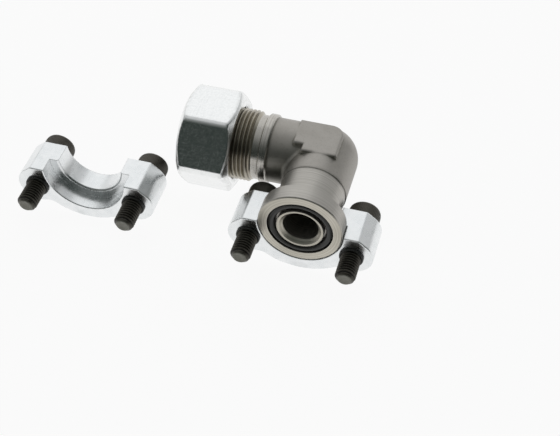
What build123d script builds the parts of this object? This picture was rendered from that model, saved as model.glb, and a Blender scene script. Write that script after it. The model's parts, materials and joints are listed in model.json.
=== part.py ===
from build123d import *
import math
import os

# Right-angle hydraulic fitting with a split-flange end and a cutting-ring tube end.
# Lengths are in millimetres. The origin is the centre of the flange's sealing face.
# The flange faces -Y, the tube end points along -X and +Z is up.

# Flange head and its sealing face
HEAD_DIAMETER = 41.3
HEAD_THICKNESS = 8.8
HEAD_FRONT_CHAMFER = 0.5
HEAD_REAR_CHAMFER = 0.4
SEAL_RING_INNER_DIAMETER = 25.0
SEAL_RING_SECTION = 3.53
SEAL_RING_OUTER_ROOM = 0.12
SEAL_RING_INNER_ROOM = 1.05
SEAL_RING_BELOW_FACE = 0.1
FLANGE_BORE = 17.2
FLANGE_BORE_CHAMFER = 1.9

# Forged elbow
FORGED_DIAMETER = 32.6
NECK_TURNED_DEPTH = 0.4
NECK_TURNED_END = 25.5
NECK_STEP_SLOPE = 0.3
NECK_FILLET = 1.0
INNER_CORNER_FILLET = 2.5
COLLAR_CLEAR_OF_SCREW_HEADS = 1.1

# Flat wrench pads on the two sides of the corner, measured from the corner's centre
PAD_PROUD = 0.2
PAD_TOWARDS_TUBE = 14.4
PAD_TOWARDS_BACK = 8.4
PAD_TOWARDS_FLANGE = 13.4
PAD_AWAY_FROM_FLANGE = 7.9
PAD_OUTER_CORNER_RADIUS = 7.0
PAD_NOTCH_ALONG_TUBE = 5.0
PAD_NOTCH_ALONG_FLANGE = 4.6
PAD_EDGE_FILLET = 1.0

# Tube end, along the tube axis from the corner's centre
COLLAR_START = 26.2
COLLAR_WIDTH = 4.4
COLLAR_HEIGHT = 1.3
COLLAR_CHAMFER = 0.6
RELIEF_WIDTH = 3.4
RELIEF_DEPTH = 1.05
THREAD_LENGTH = 21.5
THREAD_MAJOR_DIAMETER = 36.0
THREAD_MEAN_DEPTH = 0.65
THREAD_CHAMFER = 1.2
SOCKET_DIAMETER = 25.2
SOCKET_DEPTH = 12.0
SOCKET_STEP = 2.6
CONE_DEPTH = 6.35
CONE_HALF_ANGLE = 12.0

# Union nut
NUT_ENGAGEMENT = 11.8
NUT_LENGTH = 27.0
NUT_ACROSS_FLATS = 46.0
NUT_CORNER_DIAMETER = 51.9
NUT_END_FACE_DIAMETER = 44.2
NUT_CHAMFER_ANGLE = 30.0
NUT_THREAD_ROOM = 0.05
NUT_THREAD_LENGTH = 16.6
NUT_RELIEF_LENGTH = 1.0
NUT_MOUTH_CHAMFER = 0.9
NUT_SEAT_ROOM = 0.5
NUT_TUBE_ROOM = 0.2

# Cutting ring
RING_COLLAR_WALL = 2.6
RING_FRONT_FROM_MOUTH = 4.0
RING_CONE_ROOM = 0.12
RING_SEAT_ROOM = 0.2
RING_TAIL_LENGTH = 2.0

# Clamp halves of the split flange
CLAMP_THICKNESS = 20.0
CLAMP_BEHIND_FACE = 0.3
CLAMP_SPLIT_OFFSET = 0.75
CLAMP_WALL_BELOW_SEAT = 6.4
CLAMP_BOTTOM_RADIUS = 31.0
CLAMP_BLEND_RADIUS = 7.0
CLAMP_SEAT_ROOM = 0.45
CLAMP_LIP_ROOM = 0.5
CLAMP_LIP_CHAMFER = 0.8
CLAMP_EDGE_FILLET = 0.6
CLAMP_SPLIT_CORNER_RADIUS = 2.0
CLAMP_SEAT_CHAMFER = 0.35
EAR_RADIUS = 10.4
EAR_FLANK_ANGLE = 50.0
SCREW_BEYOND_HEAD = 4.75
SCREW_ROW_BELOW_CENTRE = 11.9
SCREW_HOLE_ROOM = 0.5

# Where the half that lies apart rests
LOOSE_HALF_FROM_NUT = 4.5
LOOSE_HALF_BEHIND_FACE = 4.5

# Socket-head screws and their rubber retaining rings
SCREW_DIAMETER = 10.0
SCREW_LENGTH = 35.0
SCREW_SHANK_PAST_RING = 0.9
SCREW_THREAD_MEAN_DEPTH = 0.49
SCREW_TIP_CHAMFER = 1.0
SCREW_HEAD_DIAMETER = 16.0
SCREW_HEAD_HEIGHT = 10.0
SCREW_HEAD_FILLET = 0.8
SCREW_SOCKET_ACROSS_FLATS = 8.0
SCREW_SOCKET_DEPTH = 5.0
RETAINER_WALL = 0.9
RETAINER_THICKNESS = 2.8
RETAINER_ROOM = 0.03
RETAINER_FILLET = 0.5

# Flange values that follow from the dimensions above
forged_radius = FORGED_DIAMETER / 2
head_radius = HEAD_DIAMETER / 2
neck_radius = forged_radius - NECK_TURNED_DEPTH
flange_bore_radius = FLANGE_BORE / 2
seal_ring_radius = (SEAL_RING_INNER_DIAMETER + SEAL_RING_SECTION) / 2
groove_inner_radius = SEAL_RING_INNER_DIAMETER / 2 - SEAL_RING_INNER_ROOM
groove_outer_radius = seal_ring_radius + SEAL_RING_SECTION / 2 + SEAL_RING_OUTER_ROOM
groove_depth = SEAL_RING_BELOW_FACE + SEAL_RING_SECTION

# Clamp and screw values that follow
screw_radius = SCREW_DIAMETER / 2
screw_thread_radius = screw_radius - SCREW_THREAD_MEAN_DEPTH
screw_shank_length = CLAMP_THICKNESS + RETAINER_THICKNESS + SCREW_SHANK_PAST_RING
screw_half_spacing = head_radius + SCREW_BEYOND_HEAD
retainer_radius = screw_radius + RETAINER_WALL
clamp_seat_radius = head_radius + CLAMP_SEAT_ROOM
clamp_lip_radius = neck_radius + CLAMP_LIP_ROOM
clamp_bottom = clamp_seat_radius + CLAMP_WALL_BELOW_SEAT
head_seat = CLAMP_BEHIND_FACE + CLAMP_THICKNESS

# Tube end values that follow: its axis lies just far enough back for the collar to clear the screw heads
collar_radius = forged_radius + COLLAR_HEIGHT
tube_axis_from_face = head_seat + SCREW_HEAD_HEIGHT + COLLAR_CLEAR_OF_SCREW_HEADS + collar_radius
collar_end = COLLAR_START + COLLAR_WIDTH
thread_start = collar_end + RELIEF_WIDTH
thread_end = thread_start + THREAD_LENGTH
thread_mean_radius = THREAD_MAJOR_DIAMETER / 2 - THREAD_MEAN_DEPTH
relief_radius = thread_mean_radius - RELIEF_DEPTH
socket_radius = SOCKET_DIAMETER / 2
tube_bore_radius = socket_radius - SOCKET_STEP
cone_slope = math.tan(math.radians(CONE_HALF_ANGLE))
cone_mouth_radius = socket_radius + CONE_DEPTH * cone_slope
nut_start = thread_end - NUT_ENGAGEMENT
nut_end = nut_start + NUT_LENGTH
loose_half_along_x = -(nut_end + LOOSE_HALF_FROM_NUT + EAR_RADIUS + screw_half_spacing)
loose_move = (loose_half_along_x, LOOSE_HALF_BEHIND_FACE - CLAMP_BEHIND_FACE, 0)

# Local x runs out along the tube end and local y is the distance from its axis
tube_plane = Plane(origin=(0, tube_axis_from_face, 0), x_dir=(-1, 0, 0), z_dir=(0, 0, -1))
tube_axis = Axis((0, tube_axis_from_face, 0), (-1, 0, 0))


def across_y(distance):
    """Plane square to the flange axis, that far behind the sealing face."""
    return Plane.XZ.offset(-distance)


# Elbow: flange arm, tube arm and round corner
with BuildPart() as elbow_body:
    with BuildSketch(Plane.XY):
        with BuildLine():
            Polyline(
                (0, 0),
                (head_radius - HEAD_FRONT_CHAMFER, 0),
                (head_radius, HEAD_FRONT_CHAMFER),
                (head_radius, HEAD_THICKNESS - HEAD_REAR_CHAMFER),
                (head_radius - HEAD_REAR_CHAMFER, HEAD_THICKNESS),
                (neck_radius + NECK_FILLET, HEAD_THICKNESS),
            )
            RadiusArc(
                (neck_radius + NECK_FILLET, HEAD_THICKNESS),
                (neck_radius, HEAD_THICKNESS + NECK_FILLET),
                NECK_FILLET,
            )
            Polyline(
                (neck_radius, HEAD_THICKNESS + NECK_FILLET),
                (neck_radius, NECK_TURNED_END),
                (forged_radius, NECK_TURNED_END + NECK_STEP_SLOPE),
                (forged_radius, tube_axis_from_face),
                (0, tube_axis_from_face),
                (0, 0),
            )
        make_face()
    revolve(axis=Axis.Y)
    with BuildSketch(tube_plane):
        with BuildLine():
            Polyline(
                (0, 0),
                (0, forged_radius),
                (COLLAR_START, forged_radius),
                (COLLAR_START, collar_radius - COLLAR_CHAMFER),
                (COLLAR_START + COLLAR_CHAMFER, collar_radius),
                (collar_end - COLLAR_CHAMFER, collar_radius),
                (collar_end, collar_radius - COLLAR_CHAMFER),
                (collar_end, relief_radius),
                (thread_start, relief_radius),
                (thread_start + RELIEF_DEPTH, thread_mean_radius),
                (thread_end - THREAD_CHAMFER, thread_mean_radius),
                (thread_end, thread_mean_radius - THREAD_CHAMFER),
                (thread_end, 0),
                (0, 0),
            )
        make_face()
    revolve(axis=tube_axis)
    with Locations((0, tube_axis_from_face, 0)):
        Sphere(forged_radius)
    for side in (1, -1):
        with BuildSketch(Plane.XY) as pad_outline:
            with Locations((0, tube_axis_from_face)):
                Polygon(
                    (-PAD_TOWARDS_TUBE, PAD_AWAY_FROM_FLANGE),
                    (-PAD_TOWARDS_TUBE, PAD_NOTCH_ALONG_FLANGE - PAD_TOWARDS_FLANGE),
                    (PAD_NOTCH_ALONG_TUBE - PAD_TOWARDS_TUBE, PAD_NOTCH_ALONG_FLANGE - PAD_TOWARDS_FLANGE),
                    (PAD_NOTCH_ALONG_TUBE - PAD_TOWARDS_TUBE, -PAD_TOWARDS_FLANGE),
                    (PAD_TOWARDS_BACK, -PAD_TOWARDS_FLANGE),
                    (PAD_TOWARDS_BACK, PAD_AWAY_FROM_FLANGE),
                    align=None,
                )
            outer_corner = pad_outline.vertices().sort_by(Axis((0, 0, 0), (1, 1, 0)))[-1]
            fillet(outer_corner, PAD_OUTER_CORNER_RADIUS)
        extrude(amount=side * (forged_radius + PAD_PROUD))
    pad_rims = elbow_body.faces().filter_by(GeomType.PLANE).filter_by(Axis.Z).edges()
    fillet(pad_rims, PAD_EDGE_FILLET)
    inner_crease = elbow_body.edges().filter_by(GeomType.ELLIPSE).sort_by(Axis.X)[0]
    fillet(inner_crease, INNER_CORNER_FILLET)

    # Flow passages, sealing groove and tube socket
    with BuildSketch(Plane.XY):
        with BuildLine():
            Polyline(
                (0, 0),
                (flange_bore_radius + FLANGE_BORE_CHAMFER, 0),
                (flange_bore_radius, FLANGE_BORE_CHAMFER),
                (flange_bore_radius, tube_axis_from_face),
                (0, tube_axis_from_face),
                close=True,
            )
        make_face()
        with BuildLine():
            Polyline(
                (groove_inner_radius, 0),
                (groove_outer_radius, 0),
                (groove_outer_radius, groove_depth),
                (groove_inner_radius, groove_depth),
                close=True,
            )
        make_face()
    revolve(axis=Axis.Y, mode=Mode.SUBTRACT)
    with BuildSketch(tube_plane):
        with BuildLine():
            Polyline(
                (-flange_bore_radius, 0),
                (-flange_bore_radius, tube_bore_radius),
                (thread_end - SOCKET_DEPTH, tube_bore_radius),
                (thread_end - SOCKET_DEPTH, socket_radius),
                (thread_end - CONE_DEPTH, socket_radius),
                (thread_end, cone_mouth_radius),
                (thread_end, 0),
                close=True,
            )
        make_face()
    revolve(axis=tube_axis, mode=Mode.SUBTRACT)

# Seal ring in the face groove
with BuildPart() as face_seal_ring:
    with BuildSketch(Plane.XY):
        with Locations((seal_ring_radius, SEAL_RING_BELOW_FACE + SEAL_RING_SECTION / 2)):
            Circle(SEAL_RING_SECTION / 2)
    revolve(axis=Axis.Y)

# Union nut: chamfered hexagon with a plain thread bore and a cone that bears on the cutting ring
ring_collar_radius = socket_radius + RING_COLLAR_WALL
nut_corner_radius = NUT_CORNER_DIAMETER / 2
nut_face_radius = NUT_END_FACE_DIAMETER / 2
nut_chamfer_length = (nut_corner_radius - nut_face_radius) * math.tan(math.radians(NUT_CHAMFER_ANGLE))
nut_thread_radius = THREAD_MAJOR_DIAMETER / 2 + NUT_THREAD_ROOM
nut_seat_radius = ring_collar_radius + NUT_SEAT_ROOM
nut_hole_radius = socket_radius + NUT_TUBE_ROOM
nut_seat_start = nut_start + NUT_THREAD_LENGTH + NUT_RELIEF_LENGTH
nut_seat_end = nut_seat_start + nut_seat_radius - nut_hole_radius
with BuildPart() as union_nut:
    with BuildSketch(Plane(origin=(-nut_start, tube_axis_from_face, 0), x_dir=(0, 1, 0), z_dir=(-1, 0, 0))):
        RegularPolygon(NUT_ACROSS_FLATS / 2, 6, major_radius=False)
    extrude(amount=NUT_LENGTH)
    with BuildSketch(tube_plane):
        with BuildLine():
            Polyline(
                (nut_start, 0),
                (nut_start, nut_face_radius),
                (nut_start + nut_chamfer_length, nut_corner_radius),
                (nut_end - nut_chamfer_length, nut_corner_radius),
                (nut_end, nut_face_radius),
                (nut_end, 0),
                close=True,
            )
        make_face()
    revolve(axis=tube_axis, mode=Mode.INTERSECT)
    with BuildSketch(tube_plane):
        with BuildLine():
            Polyline(
                (nut_start, 0),
                (nut_start, nut_thread_radius + NUT_MOUTH_CHAMFER),
                (nut_start + NUT_MOUTH_CHAMFER, nut_thread_radius),
                (nut_start + NUT_THREAD_LENGTH, nut_thread_radius),
                (nut_seat_start, nut_seat_radius),
                (nut_seat_end, nut_hole_radius),
                (nut_end - NUT_MOUTH_CHAMFER, nut_hole_radius),
                (nut_end, nut_hole_radius + NUT_MOUTH_CHAMFER),
                (nut_end, 0),
                close=True,
            )
        make_face()
    revolve(axis=tube_axis, mode=Mode.SUBTRACT)

# Cutting ring between the tube end's cone and the nut's cone
ring_front = thread_end - RING_FRONT_FROM_MOUTH
ring_front_radius = cone_mouth_radius - RING_FRONT_FROM_MOUTH * cone_slope - RING_CONE_ROOM
ring_bevel_start = nut_seat_start + nut_seat_radius - RING_SEAT_ROOM - ring_collar_radius
with BuildPart() as cutting_ring:
    with BuildSketch(tube_plane):
        with BuildLine():
            Polyline(
                (ring_front, socket_radius),
                (ring_front, ring_front_radius),
                (thread_end + RING_SEAT_ROOM, cone_mouth_radius - RING_CONE_ROOM),
                (thread_end + RING_SEAT_ROOM, ring_collar_radius),
                (ring_bevel_start, ring_collar_radius),
                (ring_bevel_start + RING_TAIL_LENGTH, ring_collar_radius - RING_TAIL_LENGTH),
                (ring_bevel_start + RING_TAIL_LENGTH, socket_radius),
                close=True,
            )
        make_face()
    revolve(axis=tube_axis)

# Clamp half that cradles the flange head
split_height = -CLAMP_SPLIT_OFFSET
ear_height = -SCREW_ROW_BELOW_CENTRE
ear_flank = math.radians(EAR_FLANK_ANGLE)
ear_tangent_x = screw_half_spacing + EAR_RADIUS * math.cos(ear_flank)
ear_tangent_z = ear_height + EAR_RADIUS * math.sin(ear_flank)
split_half_width = ear_tangent_x - (split_height - ear_tangent_z) * math.tan(ear_flank)
screw_places = [(-screw_half_spacing, ear_height), (screw_half_spacing, ear_height)]
with BuildPart() as seated_clamp_half:
    with BuildSketch(across_y(CLAMP_BEHIND_FACE)) as clamp_outline:
        with Locations((0, CLAMP_BOTTOM_RADIUS - clamp_bottom)):
            Circle(CLAMP_BOTTOM_RADIUS)
        with Locations((0, split_height)):
            Rectangle(
                2 * screw_half_spacing,
                clamp_bottom,
                align=(Align.CENTER, Align.MAX),
                mode=Mode.INTERSECT,
            )
        with Locations(screw_places):
            Circle(EAR_RADIUS)
        for side in (1, -1):
            Polygon(
                (side * split_half_width, split_height),
                (side * ear_tangent_x, ear_tangent_z),
                (side * screw_half_spacing, ear_height),
                (side * screw_half_spacing, split_height),
                align=None,
            )
        fillet(clamp_outline.vertices().sort_by(Axis.Y)[:2], CLAMP_BLEND_RADIUS)
        split_corners = clamp_outline.vertices().group_by(Axis.Y)[-1].sort_by(Axis.X)
        fillet((split_corners[0], split_corners[-1]), CLAMP_SPLIT_CORNER_RADIUS)
    extrude(amount=-CLAMP_THICKNESS)
    fillet(seated_clamp_half.faces().filter_by(Axis.Y).edges(), CLAMP_EDGE_FILLET)
    with BuildSketch(across_y(CLAMP_BEHIND_FACE)):
        with Locations(screw_places):
            Circle(screw_radius + SCREW_HOLE_ROOM)
    extrude(amount=-CLAMP_THICKNESS, mode=Mode.SUBTRACT)

    # Seat for the flange head and the lip behind it, each with a broken edge
    with BuildSketch(Plane.XY):
        with BuildLine():
            Polyline(
                (0, CLAMP_BEHIND_FACE),
                (clamp_seat_radius + CLAMP_SEAT_CHAMFER, CLAMP_BEHIND_FACE),
                (clamp_seat_radius, CLAMP_BEHIND_FACE + CLAMP_SEAT_CHAMFER),
                (clamp_seat_radius, HEAD_THICKNESS),
                (clamp_lip_radius + CLAMP_LIP_CHAMFER, HEAD_THICKNESS),
                (clamp_lip_radius, HEAD_THICKNESS + CLAMP_LIP_CHAMFER),
                (clamp_lip_radius, head_seat),
                (0, head_seat),
                close=True,
            )
        make_face()
    revolve(axis=Axis.Y, mode=Mode.SUBTRACT)

# Screws of the seated half, heads behind it and threads towards the port
with BuildPart() as seated_clamp_screws:
    with BuildSketch(across_y(head_seat)):
        with Locations(screw_places):
            Circle(SCREW_HEAD_DIAMETER / 2)
    extrude(amount=-SCREW_HEAD_HEIGHT)
    fillet(seated_clamp_screws.edges().group_by(Axis.Y)[-1], SCREW_HEAD_FILLET)
    with BuildSketch(across_y(head_seat)):
        with Locations(screw_places):
            Circle(screw_radius)
    extrude(amount=screw_shank_length)
    chamfer(seated_clamp_screws.edges().group_by(Axis.Y)[0], SCREW_THREAD_MEAN_DEPTH)
    with BuildSketch(across_y(head_seat - screw_shank_length)):
        with Locations(screw_places):
            Circle(screw_thread_radius)
    extrude(amount=SCREW_LENGTH - screw_shank_length)
    chamfer(seated_clamp_screws.edges().group_by(Axis.Y)[0], SCREW_TIP_CHAMFER)
    with BuildSketch(across_y(head_seat + SCREW_HEAD_HEIGHT)):
        with Locations(screw_places):
            RegularPolygon(SCREW_SOCKET_ACROSS_FLATS / 2, 6, major_radius=False)
    extrude(amount=SCREW_SOCKET_DEPTH, mode=Mode.SUBTRACT)

# Rubber rings that keep the screws in the half
with BuildPart() as seated_screw_retainers:
    with BuildSketch(across_y(CLAMP_BEHIND_FACE)):
        with Locations(screw_places):
            Circle(retainer_radius)
        with Locations(screw_places):
            Circle(screw_radius + RETAINER_ROOM, mode=Mode.SUBTRACT)
    extrude(amount=RETAINER_THICKNESS)
    retainer_rims = seated_screw_retainers.edges().filter_by(GeomType.CIRCLE)
    retainer_rims = retainer_rims.filter_by(lambda edge: edge.radius > retainer_radius - RETAINER_ROOM)
    fillet(retainer_rims, RETAINER_FILLET)

# The other half lies apart, with its own screws and rings
with BuildPart() as loose_clamp_half:
    with Locations(loose_move):
        add(seated_clamp_half.part)
with BuildPart() as loose_clamp_screws:
    with Locations(loose_move):
        add(seated_clamp_screws.part)
with BuildPart() as loose_screw_retainers:
    with Locations(loose_move):
        add(seated_screw_retainers.part)

os.makedirs("parts", exist_ok=True)
pieces = {
    "elbow_body": elbow_body,
    "face_seal_ring": face_seal_ring,
    "union_nut": union_nut,
    "cutting_ring": cutting_ring,
    "seated_clamp_half": seated_clamp_half,
    "seated_clamp_screws": seated_clamp_screws,
    "seated_screw_retainers": seated_screw_retainers,
    "loose_clamp_half": loose_clamp_half,
    "loose_clamp_screws": loose_clamp_screws,
    "loose_screw_retainers": loose_screw_retainers,
}
for label, piece in pieces.items():
    piece.part.label = label
    export_step(piece.part, f"parts/{label}.step")
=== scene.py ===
import json
import math

import bpy
from mathutils import Matrix, Vector

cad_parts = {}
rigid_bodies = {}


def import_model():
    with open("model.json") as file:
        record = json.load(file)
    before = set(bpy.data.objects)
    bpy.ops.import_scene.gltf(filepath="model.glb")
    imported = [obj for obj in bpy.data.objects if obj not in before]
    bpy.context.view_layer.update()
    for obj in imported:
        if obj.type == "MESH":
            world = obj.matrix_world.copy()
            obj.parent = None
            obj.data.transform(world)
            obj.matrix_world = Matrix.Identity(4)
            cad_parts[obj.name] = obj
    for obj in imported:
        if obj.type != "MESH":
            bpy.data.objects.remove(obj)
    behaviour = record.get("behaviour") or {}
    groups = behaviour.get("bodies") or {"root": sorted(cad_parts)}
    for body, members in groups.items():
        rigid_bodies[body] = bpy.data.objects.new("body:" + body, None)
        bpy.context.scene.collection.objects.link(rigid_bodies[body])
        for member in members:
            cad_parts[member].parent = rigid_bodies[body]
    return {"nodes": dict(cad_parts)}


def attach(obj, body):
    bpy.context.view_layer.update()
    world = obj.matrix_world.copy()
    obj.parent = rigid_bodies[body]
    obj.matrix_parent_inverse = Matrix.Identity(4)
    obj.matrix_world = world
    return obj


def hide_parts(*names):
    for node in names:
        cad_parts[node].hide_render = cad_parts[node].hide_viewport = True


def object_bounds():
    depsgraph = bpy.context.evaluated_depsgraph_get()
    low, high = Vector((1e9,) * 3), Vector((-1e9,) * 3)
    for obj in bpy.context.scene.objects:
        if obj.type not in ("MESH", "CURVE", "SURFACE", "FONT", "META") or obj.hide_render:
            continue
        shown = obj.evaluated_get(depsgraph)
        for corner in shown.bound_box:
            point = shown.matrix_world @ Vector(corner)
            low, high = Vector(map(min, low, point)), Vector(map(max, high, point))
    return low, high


# A fresh stage: whatever the start-up file holds is cleared before the solids come in
for leftover in list(bpy.data.objects):
    bpy.data.objects.remove(leftover)
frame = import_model()
solid_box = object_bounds()
nodes = frame["nodes"]

# All places and sizes are in metres, in the frame of the solids
MM = 0.001
MERGE_DISTANCE = 0.002 * MM
TINY_EDGE = 0.1 * MM
SURFACE_TOLERANCE = 0.02 * MM

# Elbow
TUBE_AXIS_Y = 49.0 * MM
NECK_END_Y = 25.6 * MM
MOUTH_DEPTH = 2.0 * MM
MOUTH_LIP_RADIUS = 11.4 * MM
COLLAR_X = -26.2 * MM
ELBOW_MERGE_DISTANCE = 0.001 * MM
ELBOW_SMOOTH_ANGLE = 25

# Thread of the tube end
THREAD_START = 34.0 * MM
THREAD_END = 55.5 * MM
THREAD_END_ROOM = 0.05 * MM
THREAD_SOLID_RADIUS = 17.35 * MM
THREAD_ROOT_RADIUS = 16.78 * MM
THREAD_CREST_RADIUS = 17.97 * MM
THREAD_CORE_RADIUS = 16.6 * MM
THREAD_PITCH = 2.0 * MM
THREAD_SIDES = 96
THREAD_BORE_SHARE = 0.95
THREAD_SMOOTH_ANGLE = 35
RELIEF_RADIUS = 16.3 * MM
MOUTH_RADIUS = 16.15 * MM

# Form of every thread, in shares of its pitch
ROOT_END = 0.1
CREST_START = 0.43
CREST_END = 0.57
ROOT_START = 0.9

# Name of the measure that tells a finish where grooves and crests are
THREAD_HEIGHT = "thread_height"

# Union nut
NUT_START = 43.7 * MM
NUT_LENGTH = 27.0 * MM
NUT_FLAT_RADIUS = 23.0 * MM
NUT_CORNER_RADIUS = 25.95 * MM
NUT_FACE_RADIUS = 21.8 * MM
NUT_CHAMFER_ANGLE = 30.0
NUT_BORE_RADIUS = 18.05 * MM
NUT_BORE_LENGTH = 16.6 * MM
NUT_SEAT_START = 17.6 * MM
NUT_SEAT_RADIUS = 15.7 * MM
NUT_HOLE_RADIUS = 12.8 * MM
NUT_MOUTH_CHAMFER = 0.9 * MM
NUT_EDGE_ROUND = 1.0 * MM
NUT_EDGE_SEGMENTS = 3
NUT_EDGE_ANGLE = 20
NUT_EDGE_TOLERANCE = 0.05 * MM
NUT_TURNED_SIDES = 72
NUT_SMOOTH_ANGLE = 28

# Cap screws
SCREW_HALF_SPACING = 25.4 * MM
SCREW_ROW_Z = -11.9 * MM
SEATED_HEAD_Y = 20.3 * MM
LOOSE_X = -111.0 * MM
LOOSE_HEAD_Y = 24.5 * MM
SCREW_LENGTH = 35.0 * MM
SCREW_INTO_HEAD = 1.5 * MM
SCREW_ROOT_RADIUS = 4.1 * MM
SCREW_CREST_RADIUS = 4.97 * MM
SCREW_PITCH = 1.5 * MM
SCREW_SIDES = 48
SCREW_END_RADIUS = 3.6 * MM
SCREW_HEAD_END_RADIUS = SCREW_ROOT_RADIUS - 0.3 * MM
SCREW_SMOOTH_ANGLE = 28
SCREW_TIP_HEIGHT = 0.5 * MM
SCREW_TIP_RUBBED = 0.3 * MM

# Rounded and dished tip of a screw, as rings of (radius, height)
SCREW_TIP = [
    (3.5 * MM, 0.7 * MM),
    (3.62 * MM, SCREW_TIP_HEIGHT),
    (3.4 * MM, 0.25 * MM),
    (3.1 * MM, 0.06 * MM),
    (2.75 * MM, 0.0),
    (2.4 * MM, 0.07 * MM),
    (1.2 * MM, 0.28 * MM),
]

# Screw head, as rings of (share of its radius, height)
HEAD_RADIUS = 7.98 * MM
HEAD_HEIGHT = 10.0 * MM
HEAD_RINGS = [
    (0.945, 0.0),
    (0.985, 0.35 * MM),
    (1.0, 0.6 * MM),
    (1.0, 8.3 * MM),
    (0.985, 8.7 * MM),
    (0.975, 9.2 * MM),
    (0.945, 9.65 * MM),
    (0.9, 9.9 * MM),
    (0.84, HEAD_HEIGHT),
]
HEAD_KNURLS = 54
KNURL_START = 0.5 * MM
KNURL_END = 8.5 * MM
KNURL_ROOT_SHARE = 0.972
HEAD_SOCKET_RADIUS = 8.0 / math.sqrt(3) * MM
HEAD_SOCKET_DEPTH = 5.0 * MM

# Rubber rings on the screws
CLAMP_THICKNESS = 20.0 * MM
RETAINER_RADIUS = 5.35 * MM
RETAINER_SECTION_RADIUS = 0.6 * MM
RETAINER_STRETCH = 1.2
RETAINER_SIDES = 64
RETAINER_SECTION_SIDES = 16
RETAINER_SMOOTH_ANGLE = 60

# Tones of the steel: forged skin, turned surfaces, flange face and cut thread
FORGED_TONES = (0.348, 0.330, 0.303, 1), (0.440, 0.420, 0.390, 1)
FORGED_GRIT_TONE = (0.240, 0.228, 0.204, 1)
# Painted shade for the forged skin where the arms close it in
PAINTED_SHADE_TONE = (0.120, 0.118, 0.088, 1)
TURNED_TONES = (0.408, 0.390, 0.359, 1), (0.526, 0.507, 0.473, 1)
FACE_TONES = (0.458, 0.433, 0.370, 1), (0.602, 0.575, 0.502, 1)
STEEL_WEAR_TONE = (0.520, 0.510, 0.480, 1)
# Grime with painted shade, for inner corners
STEEL_GRIME_AND_SHADE_TONE = (0.060, 0.057, 0.048, 1)
# Cut thread: grooves darkened as painted shade, crests lightened as painted highlight
GROOVE_TONES = (0.140, 0.122, 0.092, 1), (0.200, 0.176, 0.136, 1)
RIDGE_TONES = (0.370, 0.338, 0.276, 1), (0.460, 0.428, 0.362, 1)
RIDGE_WEAR_TONE = (0.62, 0.60, 0.56, 1)
STEEL_METALLIC = 0.9

# Tones of the zinc plating
NUT_TONES = (0.840, 0.850, 0.850, 1), (0.910, 0.915, 0.912, 1)
CLAMP_TONES = (0.770, 0.790, 0.798, 1), (0.865, 0.878, 0.882, 1)
ZINC_SPECK_TONE = (0.50, 0.52, 0.52, 1)
ZINC_SCRATCH_TONE = (0.60, 0.62, 0.62, 1)
ZINC_WEAR_TONE = (0.52, 0.53, 0.52, 1)
# Grime with painted shade, for inner corners
ZINC_GRIME_AND_SHADE_TONE = (0.22, 0.24, 0.24, 1)

# Tones of the screws, for thread groove (a painted shade), dark patch and pale patch, and of the
# rubber
OXIDE_TONES = (0.008, 0.007, 0.005, 1), (0.052, 0.047, 0.036, 1), (0.088, 0.081, 0.065, 1)
TIP_TONES = (0.180, 0.178, 0.152, 1), (0.170, 0.168, 0.143, 1), (0.250, 0.247, 0.214, 1)
OXIDE_WEAR_TONE = (0.200, 0.190, 0.165, 1)
OXIDE_METALLIC = 0.5
RUBBER_TONES = (0.013, 0.0135, 0.011, 1), (0.026, 0.0265, 0.022, 1)
RUBBER_BLOOM_TONE = (0.060, 0.060, 0.057, 1)

# Where the steel's finishes meet, and over what distance one passes into the next
FINISH_FADE = 0.2 * MM
MOUTH_LIP_FADE = 0.1 * MM
FACE_DEPTHS = 0.3 * MM, 0.1 * MM
NECK_STEP_REACH = 2.0 * MM, 1.0 * MM
# How far the painted shade on the forged skin reaches
PAINTED_SHADE_REACH = 18.0 * MM

# Rounding, relief, and grime with painted shade, of the steel
FORGED_EDGE_ROUND = 1.9 * MM
TURNED_EDGE_SHARPENING = 1.4 * MM
NECK_STEP_SOFTENING = 1.0 * MM
TOOL_LINE_HEIGHT = 0.7
FORGED_GRAIN_HEIGHT = 2.0
STEEL_GRIME_AND_SHADE_SHARE = 0.45
NECK_STEP_GRIME_AND_SHADE_LOSS = 0.30

# Roughness, as one value or from dark to pale patches; polish is what turning takes off it
STEEL_ROUGHNESS = 0.41, 0.51
TUBE_END_POLISH = 0.21
NECK_POLISH = 0.06
THREAD_ROUGHNESS = 0.30
NUT_ROUGHNESS = 0.20, 0.26
CLAMP_ROUGHNESS = 0.25, 0.32
OXIDE_ROUGHNESS = 0.36, 0.50
RUBBER_ROUGHNESS = 0.43

# How open a surface looks from inside (1 is flat) where edge wear starts and where it is full
CRISP_EDGES = 0.85, 0.45
BLUNT_EDGES = 0.985, 0.84
ROUNDING_SAMPLES = 6
OPENNESS_SAMPLES = 8

# Studio
FLOOR_SIZE = 6.0
FLOOR_TONE = (0.90, 0.90, 0.895, 1)
FLOOR_ROUGHNESS = 0.9
FLOOR_SHEEN = 0.1
FLOOR_GLOW = 0.93
FLOOR_GLOW_IN_METAL = 0.98
DOME_MIDDLE = (-0.35, 0.72, 0.60)
DOME_DARK_FROM = -0.10
DOME_WHITE_FROM = 0.85
DOME_TONE = (0.62, 0.63, 0.635, 1)
FRONT_WALL_TONES = (0.034, 0.043, 0.039, 1), (0.112, 0.122, 0.116, 1)
FRONT_WALL_HEIGHTS = 0.25, 0.85
BACKDROP_HEIGHTS = 0.55, 0.15
BACKDROP_DEPTHS = 0.2, 0.7
WHITE = (1, 1, 1, 1)
LAMP_WATTS = 1.2
LAMP_WIDTH = 1.1
LAMP_DEPTH = 0.9
LAMP_PLACE = (-0.34, 0.88, 0.78)
LAMP_AIM = (-0.04, 0.02, 0)

# Camera, with its sensor and lens in millimetres
SENSOR_WIDTH = 36.0
LENS = 73.93
CAMERA_PLACE = (0.08959, -0.35348, 0.39539)
CAMERA_DIRECTION = (-0.1849, 0.6596, -0.7285)


# Modelling helpers

def deselect_all():
    bpy.ops.object.select_all(action="DESELECT")


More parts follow.
